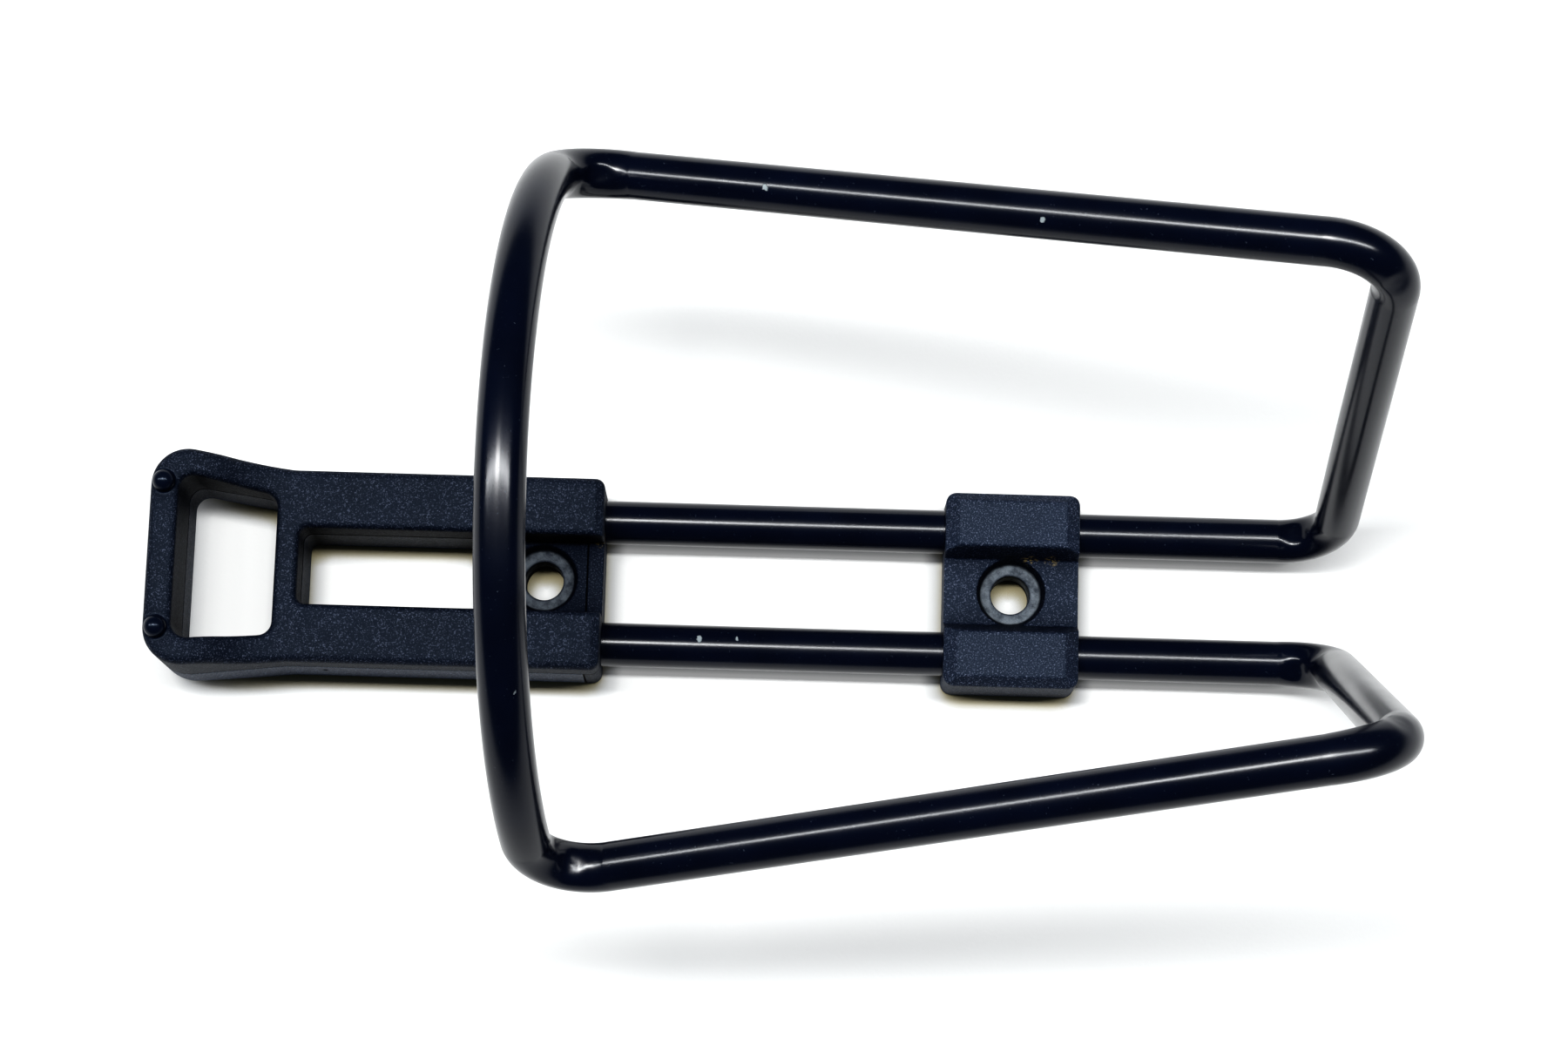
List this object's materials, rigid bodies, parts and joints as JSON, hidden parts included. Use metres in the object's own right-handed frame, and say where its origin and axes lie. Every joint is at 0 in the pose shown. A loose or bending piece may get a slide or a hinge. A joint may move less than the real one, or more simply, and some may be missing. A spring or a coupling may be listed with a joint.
{
  "type": "bicycle bottle cage",
  "caption": "Bottle cage of one bent painted tube whose rails plug into a two-shell plastic bracket, with a plastic mounting block that slides along the rails.",
  "frame": {"origin": "on the mounting plane (the back of bracket and block), midway between the two frame bolts", "axes": "+X along the bicycle tube, from the cage's mouth and bracket towards its foot; +Y across; +Z away from the bicycle tube, towards the bottle. The cage lies on its back."},
  "size_m": [0.1633, 0.0932, 0.0918],
  "materials": {
    "tube_paint": "gloss, near-black navy",
    "bracket_plastic": "fine spark-eroded grain, dark navy",
    "cover_plastic": "fine spark-eroded grain, dark navy",
    "block_plastic": "fine spark-eroded grain, dark navy"
  },
  "bodies": {
    "cage": {"bent_tube": "tube_paint", "bracket_front": "bracket_plastic", "bracket_back": "cover_plastic"},
    "block": {"mount_block": "block_plastic"}
  },
  "joints": [
    {"name": "block_slide", "type": "slide", "parent": "cage", "child": "block", "axis": [1, 0, 0], "range_m": [-0.046, 0.0265]}
  ]
}
